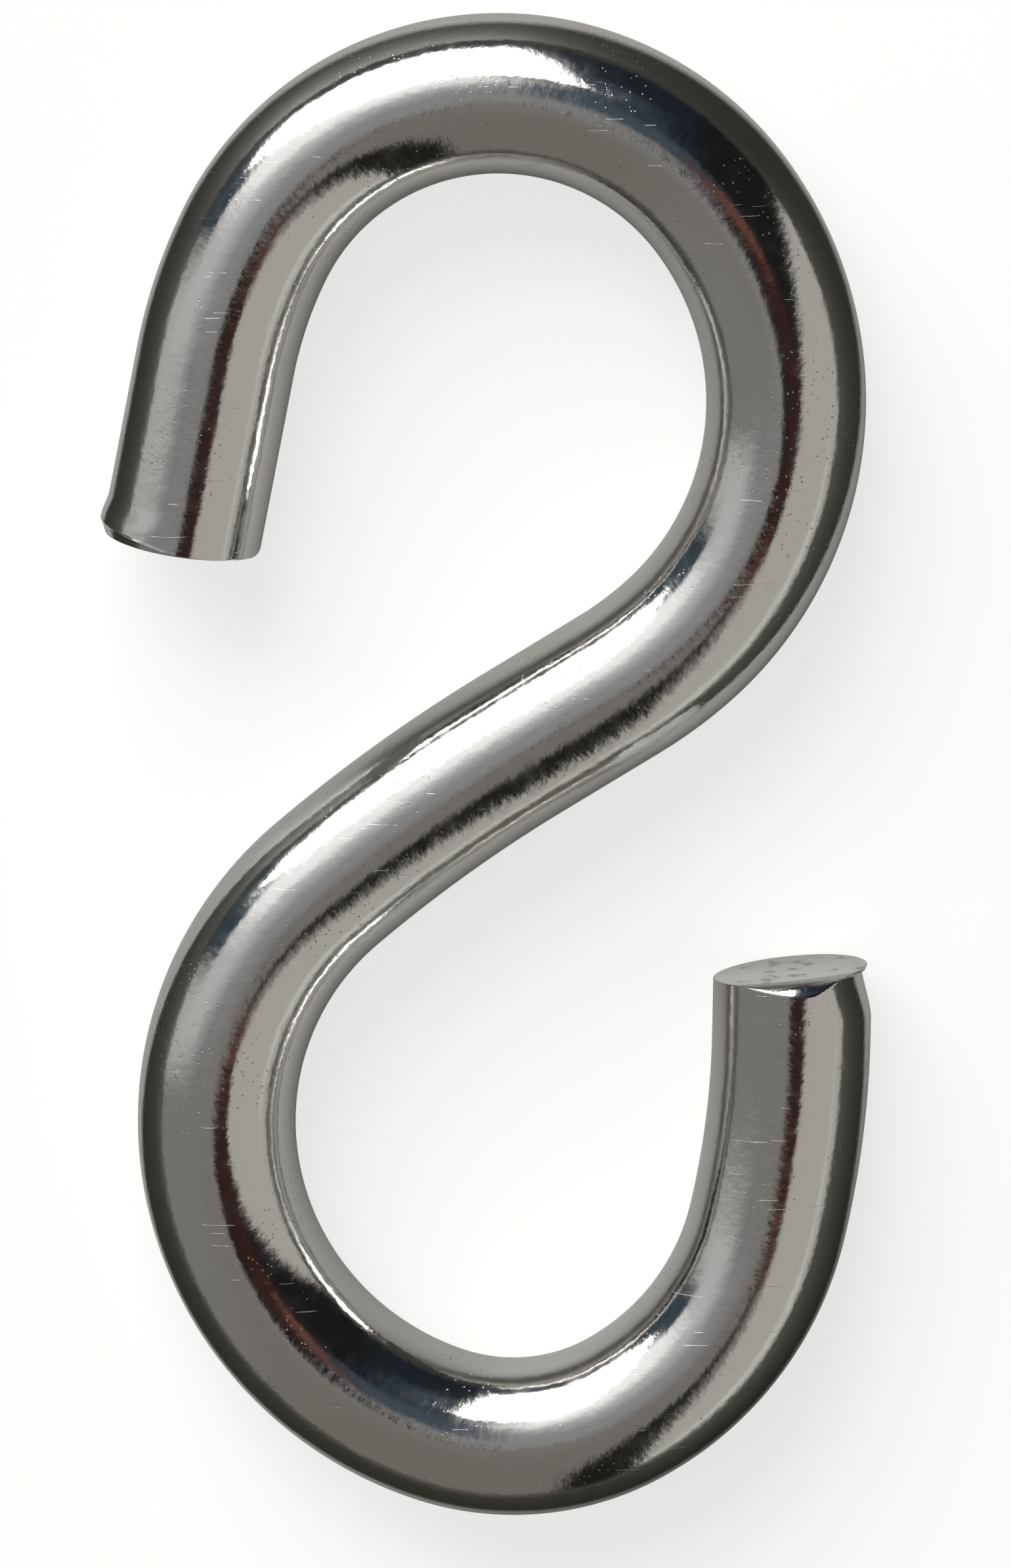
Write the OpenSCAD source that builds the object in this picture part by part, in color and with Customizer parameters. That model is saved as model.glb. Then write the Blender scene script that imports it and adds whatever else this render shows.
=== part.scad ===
// S hook bent from one length of round steel wire, lying flat on its side.
// The wire starts at the cut end of the upper arm, runs over the upper hook, along the shank and
// round the lower hook, and stops at the cut end of the lower arm.
// +Y points from the lower hook to the upper one, +Z is up, and the wire rests on z = 0.

/* [Wire] */
// Diameter of the round wire
wire_d = 5; // [3.5:0.1:7]

/* [Upper hook] */
// Angle by which the upper arm leans out from the hook's length
upper_arm_lean = 11; // [5:0.5:17]
// Length of the straight upper arm along its centre, from the cut to the bend
upper_arm_len = 5.8; // [3:0.1:9]
// Inside radius where the upper arm eases into the crown
upper_ease_r = 12.5; // [9:0.1:16]
// Angle that the upper ease turns through
upper_ease_turn = 15; // [10:1:20]
// Inside radius of the crown, over the top of the upper hook
crown_r = 6.1; // [5.5:0.1:7.5]
// Angle that the crown turns through
crown_turn = 117; // [110:1:124]
// Inside radius of the side that comes down from the crown
side_r = 7.8; // [6.8:0.1:9]
// Angle that the side turns through
side_turn = 85; // [78:1:92]
// Inside radius of the shoulder, where the side runs out into the shank
shoulder_r = 10.5; // [7:0.1:14]
// Angle that the shoulder turns through
shoulder_turn = 10; // [5:1:15]

/* [Shank] */
// Length of the straight shank between the two hooks
shank_len = 3.6; // [2:0.1:7]

/* [Lower hook] */
// Inside radius of the long soft neck at the foot of the shank
neck_r = 46.5; // [40:0.5:54]
// Angle that the neck turns through
neck_turn = 9; // [5:1:13]
// Inside radius of the belly, down the back of the lower hook
belly_r = 7.7; // [6.8:0.1:9]
// Angle that the belly turns through
belly_turn = 121; // [114:1:127]
// Inside radius of the seat, the tightest bend, under the load
seat_r = 4.8; // [4:0.1:6]
// Angle that the seat turns through
seat_turn = 48; // [42:1:54]
// Inside radius of the toe that turns up to the lower arm
toe_r = 7; // [6:0.1:8.5]
// Angle that the toe turns through
toe_turn = 47; // [40:1:54]
// Inside radius where the toe eases into the lower arm
lower_ease_r = 26.5; // [20:0.5:34]
// Angle that the lower ease turns through
lower_ease_turn = 12; // [8:1:18]
// Length of the straight lower arm along its centre, up to the cut
lower_arm_len = 2.1; // [1.5:0.1:6]

/* [Upper cut] */
// Angle by which the upper cut slants, so that the outer side of the bend is left longer
upper_cut_slant = 2.5; // [0:0.5:6]
// Angle by which the upper cut leans, so that the upper side of the wire is left longer
upper_cut_lean = 2.5; // [0:0.5:6]
// Length of the end that the shear swelled
swell_len = 0.75; // [0.5:0.05:1.5]
// How far the swelled end stands out on the outer side of the bend
swell_out = 0.13; // [0.05:0.01:0.3]
// Radius of the edge that the shear rolled over on the outer side
upper_roll_r = 0.3; // [0.2:0.05:0.8]

/* [Lower cut] */
// Angle by which the lower cut slants, so that the outer side is left longer
lower_cut_slant = 6.5; // [0:0.5:12]
// Radius of the edge that the shear rolled over on the upper side of the wire
lower_roll_r = 0.6; // [0.2:0.05:0.9]
// Length of the flat that the blade pressed into the outer side
pinch_len = 1.35; // [1:0.05:1.5]
// Depth of that flat at the cut
pinch_depth = 0.65; // [0.5:0.01:0.8]
// Angle by which the flat faces upwards
pinch_lift = 10; // [0:1:20]
// Thickness of the burr left along the edge of the cut
burr_t = 0.2; // [0.1:0.01:0.3]
// How far the burr stands out over the pressed flat, less than the depth of the flat
burr_out = 0.3; // [0.1:0.01:0.4]

/* [Hidden] */
$fn = 96;
wire_r = wire_d / 2;
// A cutting block that is longer than the wire is thick
block = 3 * wire_d;
// A coarse turn has a cosine and a sine that are whole parts of this many
PARTS = 1e6;
// How many degrees a coarse turn may be off the turn that is wanted
NEAR = 0.01;
// Share of a run between two points of the outline that the size is taken from
SHARE = 0.05;

// A run of the wire is [length, 0] where it is straight and [centre radius, turn] where it bends.
// A turn to the left is positive.
function bend(inside_r, turn) = [inside_r + wire_r, turn];
RUNS = [
    [upper_arm_len, 0],
    bend(upper_ease_r, -upper_ease_turn),
    bend(crown_r, -crown_turn),
    bend(side_r, -side_turn),
    bend(shoulder_r, -shoulder_turn),
    [shank_len, 0],
    bend(neck_r, neck_turn),
    bend(belly_r, belly_turn),
    bend(seat_r, seat_turn),
    bend(toe_r, toe_turn),
    bend(lower_ease_r, lower_ease_turn),
    [lower_arm_len, 0]
];

// A place on the wire is [x, y, heading]. This is the place a share of the way along a run.
function along(place, run, share = 1) =
    let (heading = place[2], turn = run[1], side = sign(turn), ahead = heading + share * turn)
    turn == 0
        ? [place.x + share * run[0] * cos(heading), place.y + share * run[0] * sin(heading), heading]
        : [place.x + side * run[0] * (sin(ahead) - sin(heading)),
           place.y - side * run[0] * (cos(ahead) - cos(heading)), ahead];

// Where each run starts, counted from the upper cut, and where the last one ends
function starts(k = 0, place = [0, 0, 90 - upper_arm_lean]) =
    k == len(RUNS) ? [place] : concat([place], starts(k + 1, along(place, RUNS[k])));
STARTS = starts();

// The outline of the whole hook gives the middle of its length and width
PLACES = [for (k = [0 : len(RUNS) - 1]) for (share = [0 : SHARE : 1]) along(STARTS[k], RUNS[k], share)];
OUTER_LEFT = [for (p = PLACES) p.x - wire_r * abs(sin(p[2]))];
OUTER_RIGHT = [for (p = PLACES) p.x + wire_r * abs(sin(p[2]))];
OUTER_LOW = [for (p = PLACES) p.y - wire_r * abs(cos(p[2]))];
OUTER_HIGH = [for (p = PLACES) p.y + wire_r * abs(cos(p[2]))];
left_edge = min(min(OUTER_LEFT), STARTS[0].x - (wire_r + swell_out) * abs(sin(STARTS[0][2])));
MIDDLE = [(left_edge + max(OUTER_RIGHT)) / 2, (min(OUTER_LOW) + max(OUTER_HIGH)) / 2];

// The coarse turns near an angle, each as [misfit, cosine, sine]. The misfit is how much the coarse
// turn and the fine turn after it would swell or shrink what they turn.
function coarse_turns(angle) = [
    for (x = [ceil(PARTS * cos(abs(angle) + NEAR)) : floor(PARTS * cos(abs(angle) - NEAR))])
        let (y = round(sqrt(PARTS * PARTS - x * x)), fine = (abs(angle) - atan2(y, x)) * PI / 180)
        [abs(norm([x, y]) / PARTS - 1 + fine * fine / 2), x / PARTS, sign(angle) * y / PARTS]
];
function truest(turns) =
    let (least = min([for (t = turns) t[0]]))
    [for (t = turns) if (t[0] == least) t][0];

// Turns its children by an angle, first coarsely by a short cosine and sine and then finely by the
// rest. No digit of the turn is lost, so a run starts on the very circle where the last one stops.
module turned(angle) {
    turn = truest(coarse_turns(angle));
    multmatrix([[turn[1], -turn[2], 0, 0], [turn[2], turn[1], 0, 0], [0, 0, 1, 0]])
        rotate([0, 0, angle - atan2(turn[2], turn[1])])
            children();
}

// Carries its children to the end of a run, so that they start exactly where it stops
module onward(run) {
    side = sign(run[1]);
    if (side == 0)
        translate([run[0], 0, 0])
            children();
    else
        translate([0, side * run[0], 0])
            turned(run[1])
                translate([0, -side * run[0], 0])
                    children();
}

// Lies along +X from the origin. Its round starts and ends on the side of +Y, or of -Y where side is
// -1, which is the outer side of the bend before it, where the round of that bend starts and ends.
module straight_wire(length, side = 1) {
    rotate([side * 90, 0, side * 90])
        cylinder(d = wire_d, h = length);
}

// Everything past the plane where the wire is cut square at the origin
module beyond() {
    translate([0, -block / 2, -block / 2])
        cube(block);
}

// A bend starts along +X at the origin and turns to the left, or to the right where its turn is negative
module bent_wire(run) {
    mirror([0, run[1] < 0 ? 1 : 0, 0])
        translate([0, run[0], 0])
            rotate([0, 0, -90])
                rotate_extrude(angle = abs(run[1]))
                    translate([run[0], 0])
                        circle(d = wire_d);
}

// What an edge that rolls over to a radius loses, with the corner at the origin.
// The wire comes from -X, the cut faces +X and the rolled edge lies on the +Y side.
module roll_over(radius) {
    translate([-radius, -radius, 0])
        difference() {
            translate([0, 0, -block / 2])
                cube([block, block, block]);
            cylinder(r = radius, h = 2 * block, center = true);
        }
}

// Upper arm: the end is swelled outwards, cut nearly square and rolled over on the outer side.
// It is drawn from the cut back to the bend, with the outer side on the +Y side.
module upper_arm() {
    difference() {
        union() {
            translate([-wire_r, 0, 0])
                straight_wire(upper_arm_len + wire_r);
            translate([-wire_r, swell_out, 0])
                straight_wire(wire_r + swell_len);
        }
        rotate([0, -upper_cut_lean, upper_cut_slant])
            translate([-block, -block / 2, -block / 2])
                cube(block);
        mirror([1, 0, 0])
            translate([0, wire_r + swell_out, 0])
                roll_over(upper_roll_r);
    }
}

// Carries its children to the lower cut, slanted as the cut is
module at_lower_cut() {
    translate([lower_arm_len, 0, 0])
        rotate([0, 0, lower_cut_slant])
            children();
}

// What a flat that sinks to a depth at the lower cut takes off the outer side of the wire
module pressed_flat(depth) {
    translate([lower_arm_len - pinch_len, 0, 0])
        rotate([-pinch_lift, 0, 0])
            translate([0, -wire_r, 0])
                rotate([0, 0, atan(depth / pinch_len)])
                    translate([0, -block, -block / 2])
                        cube(block);
}

// Lower arm: the cut slants, its upper edge is rolled over, and the blade pressed a flat into the
// outer side that stops short of the cut and leaves a burr there. It is drawn from the bend.
module lower_arm() {
    difference() {
        straight_wire(lower_arm_len + wire_r, side = -1);
        difference() {
            pressed_flat(pinch_depth);
            at_lower_cut()
                translate([-burr_t, 0, 0])
                    beyond();
        }
        pressed_flat(pinch_depth - burr_out);
        at_lower_cut()
            beyond();
        translate([lower_arm_len, 0, wire_r])
            rotate([90, 0, 0])
                roll_over(lower_roll_r);
    }
}

// The wire from one of its middle runs to the lower cut
module wire_from(k) {
    if (k == len(RUNS) - 1) {
        lower_arm();
    } else {
        if (RUNS[k][1] == 0)
            straight_wire(RUNS[k][0]);
        else
            bent_wire(RUNS[k]);
        onward(RUNS[k])
            wire_from(k + 1);
    }
}

// The whole hook is one bent wire
module hook() {
    color("lightsteelblue")
        translate([-MIDDLE.x, -MIDDLE.y, wire_r])
            rotate([0, 0, 90 - upper_arm_lean]) {
                upper_arm();
                onward(RUNS[0])
                    wire_from(1);
            }
}

hook();
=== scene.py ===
import math

import bpy
from mathutils import Matrix, Vector


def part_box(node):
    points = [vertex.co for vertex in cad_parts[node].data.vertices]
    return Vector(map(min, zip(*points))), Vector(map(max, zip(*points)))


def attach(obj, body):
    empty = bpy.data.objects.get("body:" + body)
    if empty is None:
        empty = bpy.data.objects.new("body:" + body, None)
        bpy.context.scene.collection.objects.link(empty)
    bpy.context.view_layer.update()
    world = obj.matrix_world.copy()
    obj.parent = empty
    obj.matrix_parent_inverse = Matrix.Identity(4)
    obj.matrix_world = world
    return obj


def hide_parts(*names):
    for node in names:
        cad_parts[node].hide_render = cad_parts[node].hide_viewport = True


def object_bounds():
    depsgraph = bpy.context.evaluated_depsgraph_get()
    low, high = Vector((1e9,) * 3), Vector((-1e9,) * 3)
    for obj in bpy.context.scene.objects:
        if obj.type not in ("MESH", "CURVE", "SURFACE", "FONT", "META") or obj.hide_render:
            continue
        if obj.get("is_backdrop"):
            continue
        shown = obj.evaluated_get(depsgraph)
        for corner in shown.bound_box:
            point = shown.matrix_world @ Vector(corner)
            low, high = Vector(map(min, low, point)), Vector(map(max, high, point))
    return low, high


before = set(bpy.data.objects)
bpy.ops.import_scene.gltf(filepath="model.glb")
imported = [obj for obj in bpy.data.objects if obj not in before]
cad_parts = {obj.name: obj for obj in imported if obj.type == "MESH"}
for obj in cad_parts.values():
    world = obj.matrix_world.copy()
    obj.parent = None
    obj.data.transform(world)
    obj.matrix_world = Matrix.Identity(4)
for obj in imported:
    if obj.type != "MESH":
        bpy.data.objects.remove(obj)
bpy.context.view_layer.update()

# ---------------------------------------------------------------------------------------------
# The hook. One length of round steel wire, sheared off the coil and bent cold round formers into
# two open hooks that face opposite ways. It is one piece, with nothing fixed to it.
# ---------------------------------------------------------------------------------------------

MM = 0.001
# Radius of the wire in mm, and in metres
RADIUS = 2.5
WIRE_R = RADIUS * MM
SIDES = 96
# The straight runs, each with the steps that it is swept in
UPPER_ARM, UPPER_ARM_STEPS = 5.8 * MM, 30
SHANK, SHANK_STEPS = 3.6 * MM, 6
LOWER_ARM, LOWER_ARM_STEPS = 2.1 * MM, 6
# Angle by which the upper arm leans out from the hook's length
UPPER_ARM_LEAN = 11
# The bends: radius at the inside in mm, turn in degrees, where a turn to the left is positive, and
# the steps that it is swept in
UPPER_BENDS = [(12.5, -15, 18), (6.1, -117, 117), (7.8, -85, 85), (10.5, -10, 12)]
LOWER_BENDS = [(46.5, 9, 18), (7.7, 121, 121), (4.8, 48, 48), (7.0, 47, 47), (26.5, 12, 18)]
# Near its two cut ends the wire is drawn in fine steps: length in mm and number of steps
FINE = [(0.5, 50), (1.0, 25)]
FINE_LENGTH = sum(length for length, _ in FINE) * MM


def run_straight(place, heading, length, steps):
    """Draws the open end of the wire out straight and returns where it gets to."""
    ahead = Vector((math.cos(heading), math.sin(heading), 0))
    for _ in range(steps):
        bpy.ops.mesh.extrude_region_move(
            TRANSFORM_OT_translate={"value": ahead * length / steps, "orient_type": "GLOBAL"})
    return place + ahead * length, heading


def run_bend(place, heading, bend):
    """Sweeps the open end of the wire round a former and returns where it gets to."""
    inside, turn, steps = bend
    side = 1 if turn > 0 else -1
    reach = inside * MM + WIRE_R
    centre = place + side * reach * Vector((-math.sin(heading), math.cos(heading), 0))
    bpy.ops.mesh.spin(steps=steps, angle=-math.radians(turn), center=centre, axis=(0, 0, 1))
    heading += math.radians(turn)
    return centre - side * reach * Vector((-math.sin(heading), math.cos(heading), 0)), heading


def end_frame(place, heading, into, outer):
    """The frame of an end: +X runs into the wire, +Y to the outer side of the bend and +Z up."""
    ahead = Vector((math.cos(heading), math.sin(heading), 0)) * into
    side = Vector((-math.sin(heading), math.cos(heading), 0)) * outer
    return Matrix.Translation(place) @ Matrix((ahead, side, (0, 0, 1))).transposed().to_4x4()


heading = math.radians(90 - UPPER_ARM_LEAN)
place = Vector((0, 0, WIRE_R))
upper_end = end_frame(place, heading, 1, 1)
bpy.ops.object.select_all(action="DESELECT")
bpy.ops.mesh.primitive_circle_add(vertices=SIDES, radius=WIRE_R, location=place,
                                  rotation=(0, math.pi / 2, heading))
hook = bpy.context.object
hook.name = "hook_wire"
bpy.ops.object.transform_apply(location=True, rotation=True, scale=True)
bpy.ops.object.mode_set(mode="EDIT")
bpy.ops.mesh.select_all(action="SELECT")
for length, steps in FINE:
    place, heading = run_straight(place, heading, length * MM, steps)
place, heading = run_straight(place, heading, UPPER_ARM - FINE_LENGTH, UPPER_ARM_STEPS)
for bend in UPPER_BENDS:
    place, heading = run_bend(place, heading, bend)
place, heading = run_straight(place, heading, SHANK, SHANK_STEPS)
for bend in LOWER_BENDS:
    place, heading = run_bend(place, heading, bend)
place, heading = run_straight(place, heading, LOWER_ARM - FINE_LENGTH, LOWER_ARM_STEPS)
for length, steps in reversed(FINE):
    place, heading = run_straight(place, heading, length * MM, steps)
lower_end = end_frame(place, heading, -1, -1)
bpy.ops.mesh.select_all(action="SELECT")
bpy.ops.mesh.fill_holes(sides=0)
bpy.ops.object.mode_set(mode="OBJECT")


def ease(low, high, value):
    """Rises smoothly from 0 at low to 1 at high, or falls where high is the smaller."""
    share = min(max((value - low) / (high - low), 0), 1)
    return share * share * (3 - 2 * share)


def rolled(reach, radius, back):
    """How far the wire still reaches, some way behind a cut whose edge is rolled to a radius."""
    return reach - radius + math.sqrt(radius ** 2 - min(max(radius - back, 0), radius) ** 2)


# Lengths on the two ends are in mm, distances along them are counted back from the cut, and a pair
# is where something starts and where it is full. The slant of a cut leaves the outer side of the
# bend longer and its lean the upper side, both in degrees.
UPPER_SLANT = 2.5
UPPER_LEAN = 2.5
# The swell on the outer side of the upper end
SWELL = 0.12
SWELL_ALONG = (1.2, 0.5)
SWELL_OUTWARDS = (0, 1.2)
# The ridge across the swell, how much it slants, how it is broken up by waves round the wire, and
# where it fades out above and below, as a turn in radians from the outer side upwards
RIDGE = 0.028
RIDGE_WIDTH = 0.04
RIDGE_SLANT = 0.44
RIDGE_BACK = 0.015
RIDGE_BROKEN = 0.45
RIDGE_WAVES = (9, 23)
RIDGE_PHASE = 1
RIDGE_ABOVE = (2.0, 1.3)
RIDGE_BELOW = (-0.6, -0.2)
# How steeply the metal falls from the ridge to the cut, and where that fades out
FALL = 0.5
FALL_ABOVE = (1.9, 0.9)
FALL_BELOW = (-1.2, -0.3)
# The edge of the upper cut: radius on the inner side, and reach and radius on the outer side
INNER_ROLL = 0.16
OUTER_REACH = 2.61
OUTER_ROLL = 0.26

LOWER_SLANT = 6.5
LOWER_LEAN = 0
# The blade bore on all that lies further out than this, and pressed it in by a share
PRESSED_FROM = 0.9
PRESSED = 0.1
PRESSED_ALONG = (1.5, 0.15)
# Behind the burr the metal is pressed in by a share more
BURR = 0.1
BURR_ALONG = (0.03, 0.14)
# A tooth on the burr: how far it stands out, and its place and size along the wire and upwards
TOOTH = 0.1
TOOTH_BACK, TOOTH_UP = 0.09, 0.75
TOOTH_LENGTH, TOOTH_HEIGHT = 0.06, 0.3
# The upper edge of the lower cut: its reach, its radius, how far back it starts, and how much
# lower it lies to either side of its middle
TOP_REACH = 2.6
TOP_ROLL = 0.65
TOP_BACK = 0.01
TOP_DROP = 0.1
TOP_MIDDLE = -0.62

# Both cuts have a fine rolled rim, and both slants are lost some way behind the cut
RIM = 0.035
SLANT_ALONG = (1.5, 0.4)
# The length of an end that the shear gave its form, and how far a place on it may be off
FORMED = 1.5
SLACK = 0.01


def upper_form(back, out, up):
    """The shear swelled the upper end outwards and rolled its outer corner over. A thin ridge
    runs slantwise across it, and the metal falls away from the ridge to the cut."""
    if out > 0:
        out += SWELL * ease(*SWELL_ALONG, back) * ease(*SWELL_OUTWARDS, out)
    turn = math.atan2(up, out)
    behind = back - RIDGE_SLANT * math.cos(turn) - RIDGE_BACK
    few, many = RIDGE_WAVES
    waves = math.sin(few * turn + RIDGE_PHASE) * math.sin(many * turn)
    broken = 1 - RIDGE_BROKEN + RIDGE_BROKEN * waves
    ridge = RIDGE * math.exp(-(behind / RIDGE_WIDTH) ** 2) * broken
    ridge *= ease(*RIDGE_ABOVE, turn) * ease(*RIDGE_BELOW, turn)
    fall = FALL * max(-behind, 0) * ease(*FALL_ABOVE, turn) * ease(*FALL_BELOW, turn)
    size = math.hypot(out, up)
    out, up = out * (1 + (ridge - fall) / size), up * (1 + (ridge - fall) / size)
    out = min(max(out, -rolled(RADIUS, INNER_ROLL, back)), rolled(OUTER_REACH, OUTER_ROLL, back))
    return out, min(up, RADIUS)


def lower_form(back, out, up):
    """The blade pressed the outer side of the lower end in and left a burr over the press. The
    upper edge of the cut is rolled over."""
    if out > PRESSED_FROM:
        pressed = (PRESSED + BURR * ease(*BURR_ALONG, back)) * ease(*PRESSED_ALONG, back)
        out = PRESSED_FROM + (out - PRESSED_FROM) * (1 - pressed)
        out += TOOTH * math.exp(-((back - TOOTH_BACK) / TOOTH_LENGTH) ** 2
                                - ((up - TOOTH_UP) / TOOTH_HEIGHT) ** 2)
    top = rolled(TOP_REACH, TOP_ROLL, back - TOP_BACK) - TOP_DROP * (out - TOP_MIDDLE) ** 2
    return out, min(up, top)


def shear(end, form, slant, lean):
    """Gives an end the form that the shear left, and slants and leans its cut."""
    home = end.inverted()
    for vertex in hook.data.vertices:
        back, out, up = home @ vertex.co / MM
        if -SLACK < back < FORMED + SLACK and math.hypot(out, up) < RADIUS + SLACK:
            out, up = form(back, out, up)
            trim = 1 + rolled(0, RIM, back) / RADIUS
            tilt = out * math.tan(math.radians(slant)) + up * math.tan(math.radians(lean))
            tilt *= ease(*SLANT_ALONG, back)
            vertex.co = end @ (Vector((back - tilt, out * trim, up * trim)) * MM)


shear(upper_end, upper_form, UPPER_SLANT, UPPER_LEAN)
shear(lower_end, lower_form, LOWER_SLANT, LOWER_LEAN)


def belly_left(obj):
    """How far to the left the belly of the lower hook reaches, where no cut is near."""
    return min(v.co.x for v in obj.data.vertices if v.co.y < 0)


# The wire goes where its solid lies, by the middle of its length, its underside and its belly
lo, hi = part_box("hook")
points = [v.co for v in hook.data.vertices]
solid_y = (lo.y + hi.y) / 2
wire_y = (min(p.y for p in points) + max(p.y for p in points)) / 2
hook.data.transform(Matrix.Translation((0, solid_y - wire_y, lo.z - min(p.z for p in points))))
shift = belly_left(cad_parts["hook"]) - belly_left(hook)
hook.data.transform(Matrix.Translation((shift, 0, 0)))

# Faces that meet at more than this many degrees keep their edge sharp
SHARP = 35

bpy.ops.object.mode_set(mode="EDIT")
bpy.ops.mesh.select_all(action="SELECT")
bpy.ops.mesh.normals_make_consistent(inside=False)
bpy.ops.object.mode_set(mode="OBJECT")
bpy.ops.object.shade_smooth_by_angle(angle=math.radians(SHARP))


def add(tree, kind, sockets=(), **settings):
    """Adds a node with its settings, and links or fills the sockets that are given by name."""
    made = tree.nodes.new(kind)
    for name, value in settings.items():
        setattr(made, name, value)
    for name, value in dict(sockets).items():
        if isinstance(value, bpy.types.NodeSocket):
            tree.links.new(value, made.inputs[name])
        else:
            made.inputs[name].default_value = value
    return made


def sums(tree, operation, first, second, clamp=False):
    """Works out one value from two."""
    made = add(tree, "ShaderNodeMath", {0: first, 1: second}, operation=operation, use_clamp=clamp)
    return made.outputs[0]


def between(tree, low, high, value, top=1.0):
    """Rises smoothly from 0 to the top as a value goes from low to high."""
    sockets = {"Value": value, "From Min": low, "From Max": high, "To Max": top}
    made = add(tree, "ShaderNodeMapRange", sockets, interpolation_type="SMOOTHSTEP")
    return made.outputs["Result"]


def blended(tree, share, first, second):
    """Goes from one colour to another by a share."""
    made = add(tree, "ShaderNodeMix", {"Factor": share, "A": first, "B": second}, data_type="RGBA")
    return made.outputs["Result"]


def noise(tree, place, scale, detail):
    """A noise of a scale per millimetre."""
    made = add(tree, "ShaderNodeTexNoise", {"Vector": place, "Scale": scale, "Detail": detail})
    return made.outputs["Fac"]


def pits(tree, place, scale, width, share):
    """Small round pits in a share of the cells of a pattern, 1 at their middles."""
    cells = add(tree, "ShaderNodeTexVoronoi", {"Vector": place, "Scale": scale})
    drawn = add(tree, "ShaderNodeSeparateColor", {"Color": cells.outputs["Color"]})
    some = sums(tree, "LESS_THAN", drawn.outputs["Red"], share)
    return sums(tree, "MULTIPLY", between(tree, width, width / 2, cells.outputs["Distance"]), some)


# A scratch is a streak of a noise that is drawn out long and squeezed narrow, and the higher the
# noise has to be, the fewer there are
SCRATCH_STRETCH = (0.5, 14, 0.5)
SCRATCH_EDGE = 0.02


def scratches(tree, place, turn, low):
    """Fine straight scratches that run one way."""
    sockets = {"Vector": place, "Rotation": (0, 0, math.radians(turn)), "Scale": SCRATCH_STRETCH}
    turned = add(tree, "ShaderNodeMapping", sockets).outputs["Vector"]
    streaks = noise(tree, turned, scale=1, detail=1)
    return between(tree, low, low + SCRATCH_EDGE, streaks)


# The skin of the wire, in millimetres: the wave and the orange peel left by drawing, bending and
# plating, pits that come in clusters, and fine scratches
SKIN_INPUTS = [("Place", "Vector", None), ("Wave", "Float", 0.01), ("Peel", "Float", 0.0055),
               ("Pitting", "Float", 1.0), ("Scratching", "Float", 1.0)]
PIT_CLUSTERS = (0.47, 0.62)
PIT_DEPTH = 0.006
SCRATCH_DEPTH = 0.002

skin = bpy.data.node_groups.new("wire_skin", "ShaderNodeTree")
for name, kind, value in SKIN_INPUTS:
    socket = skin.interface.new_socket(name, in_out="INPUT", socket_type="NodeSocket" + kind)
    if value is not None:
        socket.default_value = value
for name in ("Height", "Pits", "Scratches", "Haze"):
    skin.interface.new_socket(name, in_out="OUTPUT", socket_type="NodeSocketFloat")
given = skin.nodes.new("NodeGroupInput").outputs
spot = given["Place"]
cluster = between(skin, *PIT_CLUSTERS, noise(skin, spot, scale=0.35, detail=3))
pitted = sums(skin, "MAXIMUM", pits(skin, spot, scale=6.5, width=0.22, share=0.4),
              pits(skin, spot, scale=2.6, width=0.1, share=0.25))
pitted = sums(skin, "MULTIPLY", sums(skin, "MULTIPLY", pitted, cluster), given["Pitting"])
scratched = sums(skin, "MAXIMUM", scratches(skin, spot, turn=62, low=0.77),
                 scratches(skin, spot, turn=-35, low=0.78))
scratched = sums(skin, "MULTIPLY", scratched, given["Scratching"])
wave = sums(skin, "MULTIPLY", noise(skin, spot, scale=0.9, detail=2), given["Wave"])
peel = sums(skin, "MULTIPLY", noise(skin, spot, scale=4.0, detail=4), given["Peel"])
height = sums(skin, "ADD", wave, peel)
height = sums(skin, "SUBTRACT", height, sums(skin, "MULTIPLY", pitted, PIT_DEPTH))
height = sums(skin, "SUBTRACT", height, sums(skin, "MULTIPLY", scratched, SCRATCH_DEPTH))
haze = noise(skin, spot, scale=1.7, detail=4)
add(skin, "NodeGroupOutput",
    {"Height": height, "Pits": pitted, "Scratches": scratched, "Haze": haze})


def new_finish(name, settings):
    """Starts a material from what is the same all over it, and returns its tree and shader too."""
    made = bpy.data.materials.new(name)
    made.use_nodes = True
    shader = made.node_tree.nodes["Principled BSDF"]
    for socket, value in settings.items():
        shader.inputs[socket].default_value = value
    return made, made.node_tree, shader


# How much rougher the metal is in a pit and in a scratch, and the stretches of the haze over which
# it grows rough and smeared
PIT_ROUGHNESS = 0.3
SCRATCH_ROUGHNESS = 0.15
HAZE_ROUGH = (0.35, 0.75)
HAZE_SMEARED = (0.52, 0.68)


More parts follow.
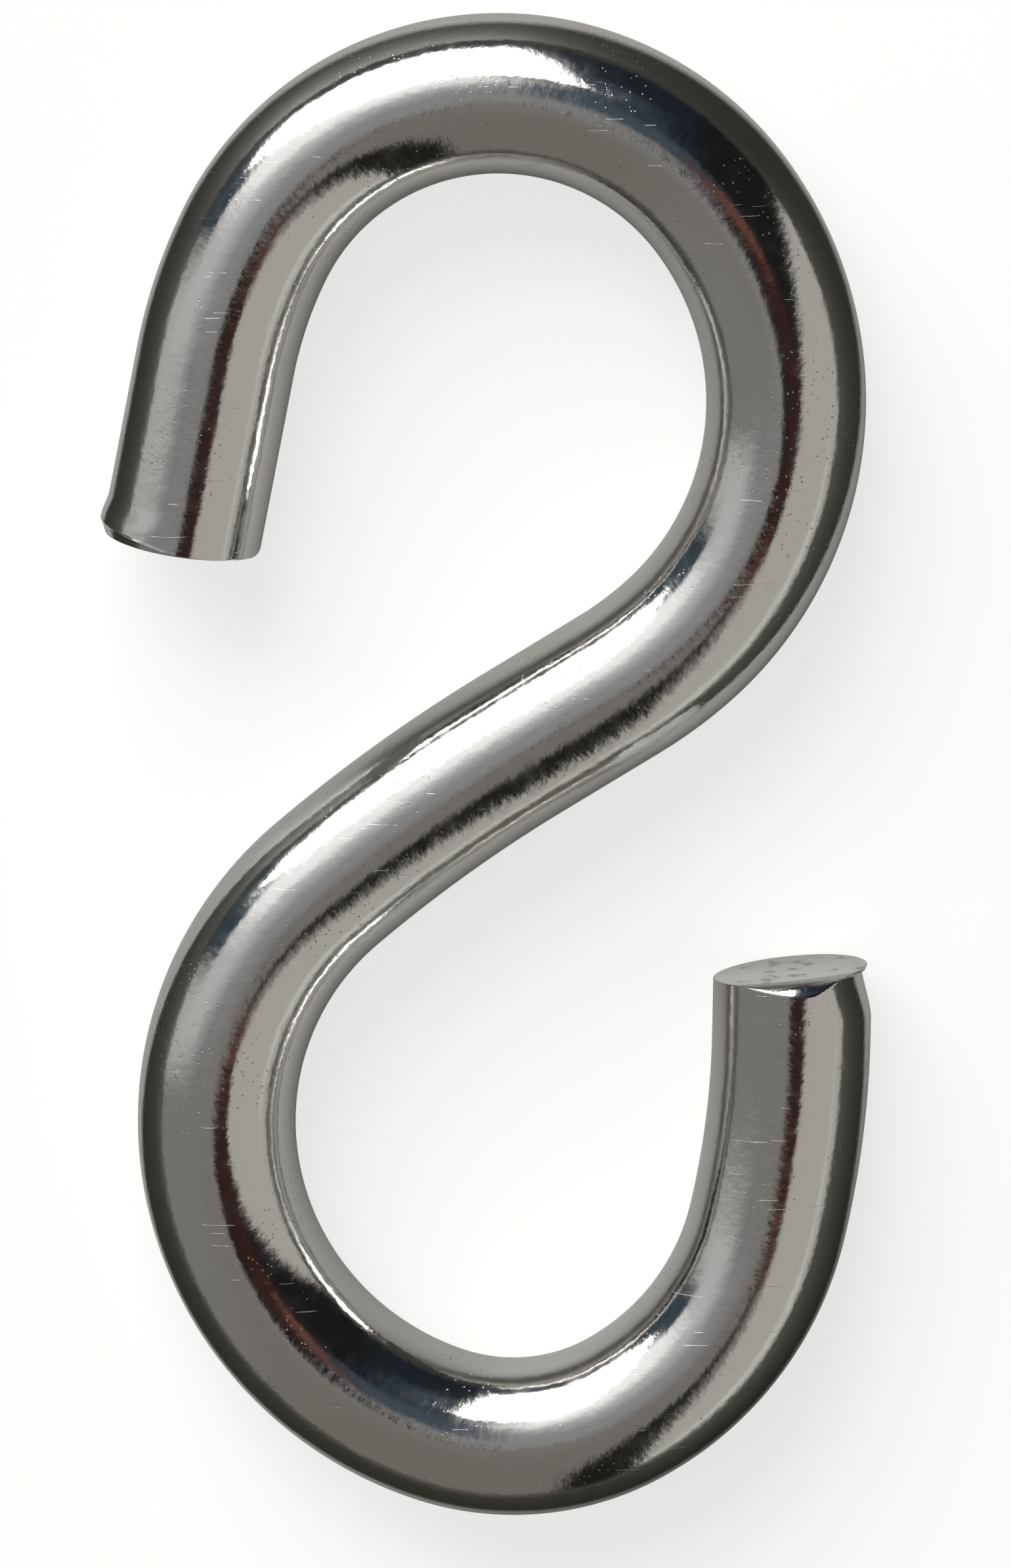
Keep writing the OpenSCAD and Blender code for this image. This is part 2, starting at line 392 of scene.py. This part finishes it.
def wire_metal(name, metallic, colour, pit_colour, roughness, haze, smears, **skin_values):
    """A metal with the skin of the wire. Its haze is how much rougher it is in places, and its
    smears are how far it takes the colour of its pits there."""
    made, tree, shader = new_finish(name, {"Metallic": metallic})
    at = add(tree, "ShaderNodeTexCoord").outputs["Object"]
    at = add(tree, "ShaderNodeVectorMath", {"Vector": at, "Scale": 1 / MM}, operation="SCALE")
    surface = add(tree, "ShaderNodeGroup", node_tree=skin)
    tree.links.new(at.outputs["Vector"], surface.inputs["Place"])
    for socket, value in skin_values.items():
        surface.inputs[socket].default_value = value
    surface = surface.outputs
    rough = between(tree, *HAZE_ROUGH, surface["Haze"], haze)
    rough = sums(tree, "ADD", rough, roughness)
    for mark, rougher in (("Pits", PIT_ROUGHNESS), ("Scratches", SCRATCH_ROUGHNESS)):
        rough = sums(tree, "ADD", rough, sums(tree, "MULTIPLY", surface[mark], rougher))
    tree.links.new(rough, shader.inputs["Roughness"])
    smeared = between(tree, *HAZE_SMEARED, surface["Haze"], smears)
    stain = sums(tree, "MAXIMUM", surface["Pits"], smeared)
    tint = blended(tree, stain, (*colour, 1), (*pit_colour, 1))
    tree.links.new(tint, shader.inputs["Base Color"])
    bump = add(tree, "ShaderNodeBump", {"Height": surface["Height"], "Distance": MM})
    tree.links.new(bump.outputs["Normal"], shader.inputs["Normal"])
    return made


hook.data.materials.append(wire_metal(
    "bright_steel", metallic=1, colour=(0.81, 0.80, 0.78), pit_colour=(0.32, 0.28, 0.25),
    roughness=0.085, haze=0.06, smears=0))
hook.data.materials.append(wire_metal(
    "sheared_steel", metallic=0.3, colour=(0.62, 0.62, 0.6), pit_colour=(0.16, 0.16, 0.15),
    roughness=0.5, haze=0.15, smears=0.6, Wave=0.06, Peel=0.05, Pitting=1.5, Scratching=4.0))
# The two cut faces are the only ones with more than four corners
for face in hook.data.polygons:
    face.material_index = 1 if len(face.vertices) > 4 else 0
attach(hook, "root")
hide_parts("hook")

# ---------------------------------------------------------------------------------------------
# The room. The hook lies in a room with one tall soft window, pale walls and dark furniture, which
# the bright metal mirrors. The camera itself sees plain white past the floor.
# ---------------------------------------------------------------------------------------------

world = bpy.data.worlds.new("studio")
bpy.context.scene.world = world
world.use_nodes = True
tree = world.node_tree
sky = tree.nodes["Background"]
look_up = add(tree, "ShaderNodeTexCoord").outputs["Generated"]


def compass(azimuth, polar):
    """The direction at an azimuth from +X towards +Y and an angle from straight up, in degrees."""
    azimuth, polar = math.radians(azimuth), math.radians(polar)
    return Vector((math.sin(polar) * math.cos(azimuth), math.sin(polar) * math.sin(azimuth),
                   math.cos(polar)))


def along(direction):
    """How far the way one looks goes along a direction."""
    made = add(tree, "ShaderNodeVectorMath", {0: look_up, 1: direction}, operation="DOT_PRODUCT")
    return made.outputs["Value"]


def panel(soft, corners):
    """A mask that is 1 inside a convex panel of the room, with a soft edge in degrees."""
    depth = 1.0
    ring = [compass(*corner) for corner in corners]
    for first, second in zip(ring, ring[1:] + ring[:1]):
        inwards = first.cross(second).normalized()
        if inwards.dot(sum(ring, Vector())) < 0:
            inwards = -inwards
        depth = sums(tree, "MINIMUM", along(inwards), depth)
    return between(tree, -math.sin(math.radians(soft)), math.sin(math.radians(soft)), depth)


# Each panel of the room, the nearer ones last: linear colour, soft edge in degrees, and corners as
# azimuth and polar angle
ROOM = [
    # The wall to the left, greenish and then brownish, with a light stretch
    ((0.20, 0.20, 0.195), 10, [(-145, 20), (170, 30), (165, 92), (-145, 92)]),
    ((0.18, 0.165, 0.15), 10, [(-78, 20), (-132, 20), (-132, 92), (-78, 92)]),
    ((0.44, 0.44, 0.43), 5, [(165, 42), (184, 42), (182, 88), (167, 88)]),
    # The ceiling over the window and the glow beside the window
    ((0.27, 0.275, 0.28), 6, [(100, 28), (135, 40), (170, 44), (-165, 22), (-120, 9), (75, 5)]),
    ((0.5, 0.5, 0.5), 9, [(100, 20), (138, 18), (180, 36), (176, 66), (120, 60)]),
    ((1.0, 1.0, 1.0), 6, [(90, 24), (128, 27), (158, 42), (157, 64), (120, 60)]),
    # A dark cupboard, bluish on the window's side, and the dark shelf that runs overhead
    ((0.010, 0.010, 0.010), 3, [(48, 8), (62, 22), (62, 92), (0, 92), (-14, 26)]),
    ((0.012, 0.017, 0.023), 3, [(44, 22), (76, 24), (86, 60), (92, 92), (50, 92)]),
    ((0.015, 0.013, 0.013), 2, [(-121, 9), (-57, 23.6), (-7, 31), (30, 30), (40, 8), (-50, 3)]),
    ((0.035, 0.015, 0.013), 3, [(-62, 14), (-50, 21), (-15, 24), (6, 22), (12, 12), (-30, 7)]),
    # Slate light between the cupboard and the ceiling
    ((0.056, 0.076, 0.10), 4, [(30, 8), (36, 22), (72, 28), (92, 24), (100, 6)]),
    ((0.03, 0.045, 0.06), 5, [(50, 22), (58, 52), (80, 56), (74, 24)]),
    # The pale wall, with its darker foot, a bright sill and a dark door frame
    ((0.43, 0.41, 0.385), 2, [(-42, 24.5), (-28, 24.5), (-12, 28), (2, 36), (20, 60), (29, 84),
                              (-20, 90), (-75, 88), (-69, 64), (-61, 38)]),
    ((0.15, 0.155, 0.135), 3, [(40, 80), (-20, 82), (-80, 81), (-80, 100), (-20, 100), (40, 100)]),
    ((0.55, 0.57, 0.53), 2.5, [(-62, 75), (-30, 70), (-12, 72), (-40, 78), (-75, 84)]),
    ((0.012, 0.012, 0.010), 2, [(-78, 17), (-60, 21), (-66, 50), (-71, 88), (-88, 88), (-84, 60)]),
    # A brown box and a brown edge on the shelf
    ((0.15, 0.062, 0.048), 3, [(10, 9), (5, 16), (13, 22), (27, 21), (32, 13)]),
    ((0.16, 0.056, 0.04), 1.5, [(-95, 10), (-62, 23), (-50, 25), (-50, 21), (-75, 13)]),
    # The window, with the dark wall under it and a curtain beside it
    ((0.05, 0.05, 0.065), 2, [(84, 72), (140, 84), (140, 100), (84, 100)]),
    ((0.033, 0.053, 0.068), 2.5, [(152, 60), (164, 64), (163, 90), (140, 90)]),
    ((4.6, 4.6, 4.5), 1.6, [(72, 25), (117, 33), (126, 39), (149, 51), (148, 72), (138, 80),
                            (90, 76), (84, 62), (77, 36)]),
]
# What lies between the panels
WALLS = (0.20, 0.19, 0.18, 1)
# Towards the floor the room falls dark by a share, over these degrees above the floor
DUSK = (0.05, 0.05, 0.042, 1)
DUSK_SHARE = 0.8
DUSK_FROM, DUSK_TO = 10, 4

room = WALLS
for colour, soft, corners in ROOM:
    room = blended(tree, panel(soft, corners), room, (*colour, 1))
dusk = between(tree, -math.sin(math.radians(DUSK_FROM)), -math.sin(math.radians(DUSK_TO)),
               along((0, 0, -1)), DUSK_SHARE)
tree.links.new(blended(tree, dusk, room, DUSK), sky.inputs["Color"])
sky.inputs["Strength"].default_value = 1
path = add(tree, "ShaderNodeLightPath").outputs
white = add(tree, "ShaderNodeBackground", {"Color": (1, 1, 1, 1)})
either = add(tree, "ShaderNodeMixShader",
             {"Fac": path["Is Camera Ray"], 1: sky.outputs["Background"],
              2: white.outputs["Background"]})
tree.links.new(either.outputs["Shader"], tree.nodes["World Output"].inputs["Surface"])

# ---------------------------------------------------------------------------------------------
# The floor. It is a sheet of pale paper, level with the underside of the hook. It glows a little
# where it is seen, so that it is white round its shadow.
# ---------------------------------------------------------------------------------------------

FLOOR_SIZE = 2
SEEN_GLOW = 0.7
MIRRORED_GLOW = 0.05

bpy.ops.object.select_all(action="DESELECT")
bpy.ops.mesh.primitive_plane_add(size=FLOOR_SIZE)
floor = bpy.context.object
floor.name = "floor"
paper, tree, shader = new_finish("white_paper", {
    "Base Color": (0.46, 0.45, 0.43, 1), "Roughness": 0.5, "Emission Color": (1, 1, 1, 1)})
path = add(tree, "ShaderNodeLightPath").outputs
mirrored = sums(tree, "ADD", path["Is Glossy Ray"], path["Is Transmission Ray"], clamp=True)
glow = sums(tree, "ADD", sums(tree, "MULTIPLY", path["Is Camera Ray"], SEEN_GLOW),
            sums(tree, "MULTIPLY", mirrored, MIRRORED_GLOW))
tree.links.new(glow, shader.inputs["Emission Strength"])
floor.data.materials.append(paper)
floor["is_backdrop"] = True

# ---------------------------------------------------------------------------------------------
# The mat. Dark felt with a soft oval opening round the hook lies on the floor. It shows only in the
# bright metal, which gets its dark edges from it.
# ---------------------------------------------------------------------------------------------

MAT_GAP = 3.6 * MM
MAT_HEIGHT = 0.05 * MM
# Where the opening ends and the felt is whole, as shares of its half axes
MAT_EDGE = (0.95, 1.05)

lo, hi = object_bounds()
reach = (hi - lo) / 2 + Vector((MAT_GAP, MAT_GAP, 0))
bpy.ops.object.select_all(action="DESELECT")
bpy.ops.mesh.primitive_plane_add(size=FLOOR_SIZE, location=(*((lo + hi) / 2).xy, MAT_HEIGHT))
mat = bpy.context.object
mat.name = "dark_mat"
felt, tree, shader = new_finish("dark_felt", {
    "Base Color": (0.042, 0.043, 0.033, 1), "Roughness": 0.6, "Specular IOR Level": 0.2})
at = add(tree, "ShaderNodeTexCoord").outputs["Object"]
at = add(tree, "ShaderNodeVectorMath", {0: at, 1: (1 / reach.x, 1 / reach.y, 0)},
         operation="MULTIPLY")
away = add(tree, "ShaderNodeVectorMath", {0: at.outputs["Vector"]}, operation="LENGTH")
opened = between(tree, *MAT_EDGE, away.outputs["Value"])
tree.links.new(opened, shader.inputs["Alpha"])
mat.data.materials.append(felt)
mat.visible_camera = False
mat.visible_diffuse = False
mat.visible_shadow = False
mat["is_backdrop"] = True

# ---------------------------------------------------------------------------------------------
# The camera. It looks almost straight down through a long lens, from a little above the hook's
# middle and to its right.
# ---------------------------------------------------------------------------------------------

TARGET = Vector((0.62, -0.42, 2.5)) * MM
# How far the camera leans to the right and upwards from straight over the target, in degrees
LEAN_RIGHT, LEAN_UP = 4, 10
DISTANCE = 0.4
# What it takes in from top to bottom at the target
VIEW_HEIGHT = 49.338843 * MM
SENSOR_HEIGHT = 36
CLIP_START = 0.01

look = Vector((math.tan(math.radians(LEAN_RIGHT)), math.tan(math.radians(LEAN_UP)), 1)).normalized()
right = Vector((0, 1, 0)).cross(look).normalized()
turned = Matrix((right, look.cross(right), look)).transposed().to_4x4()
camera = bpy.data.objects.new("camera", bpy.data.cameras.new("camera"))
bpy.context.scene.collection.objects.link(camera)
camera.matrix_world = Matrix.Translation(TARGET + look * DISTANCE) @ turned
camera.data.sensor_fit = "VERTICAL"
camera.data.sensor_height = SENSOR_HEIGHT
camera.data.lens = SENSOR_HEIGHT * DISTANCE / VIEW_HEIGHT
camera.data.clip_start = CLIP_START
bpy.context.scene.camera = camera
bpy.context.scene.view_settings.view_transform = "Standard"

bpy.context.view_layer.update()
